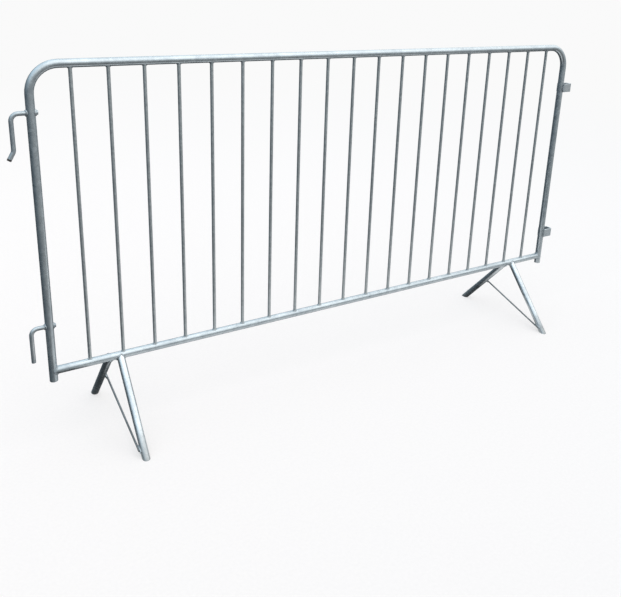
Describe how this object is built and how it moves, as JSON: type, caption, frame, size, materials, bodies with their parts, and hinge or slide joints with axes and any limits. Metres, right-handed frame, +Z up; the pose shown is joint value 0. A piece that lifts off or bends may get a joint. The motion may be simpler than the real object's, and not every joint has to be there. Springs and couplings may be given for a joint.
{
  "type": "crowd control barrier",
  "caption": "Galvanised steel crowd barrier: bent tube frame with upright infill bars, fixed splayed legs with tie rods, rod hooks on one end post and strap eyes on the other.",
  "frame": {"origin": "on the ground under the middle of the panel, in the panel's mid plane and midway between the two end posts", "axes": "+X along the panel from the hook end to the eye end, +Y across the panel towards the back legs, +Z up"},
  "size_m": [2.0904, 0.4388, 1.1],
  "materials": {
    "frame_zinc": "hot dip galvanised, satin with faint spangle",
    "bar_zinc": "hot dip galvanised, satin with faint spangle",
    "leg_zinc": "hot dip galvanised, satin, scuffed near the foot",
    "hook_zinc": "hot dip galvanised, satin, rubbed bright on the drop",
    "strap_zinc": "hot dip galvanised, satin, rubbed inside the loop",
    "tie_rod_zinc": "hot dip galvanised, dull"
  },
  "bodies": {
    "root": {"perimeter_frame": "frame_zinc", "bottom_rail": "frame_zinc", "infill_bar_01": "bar_zinc", "infill_bar_02": "bar_zinc", "infill_bar_03": "bar_zinc", "infill_bar_04": "bar_zinc", "infill_bar_05": "bar_zinc", "infill_bar_06": "bar_zinc", "infill_bar_07": "bar_zinc", "infill_bar_08": "bar_zinc", "infill_bar_09": "bar_zinc", "infill_bar_10": "bar_zinc", "infill_bar_11": "bar_zinc", "infill_bar_12": "bar_zinc", "infill_bar_13": "bar_zinc", "infill_bar_14": "bar_zinc", "infill_bar_15": "bar_zinc", "infill_bar_16": "bar_zinc", "infill_bar_17": "bar_zinc", "infill_bar_18": "bar_zinc", "infill_bar_19": "bar_zinc", "upper_hook": "hook_zinc", "lower_hook": "hook_zinc", "upper_eye": "strap_zinc", "lower_eye": "strap_zinc", "left_front_leg": "leg_zinc", "left_back_leg": "leg_zinc", "right_front_leg": "leg_zinc", "right_back_leg": "leg_zinc", "left_tie_rod": "tie_rod_zinc", "right_tie_rod": "tie_rod_zinc"}
  },
  "joints": []
}
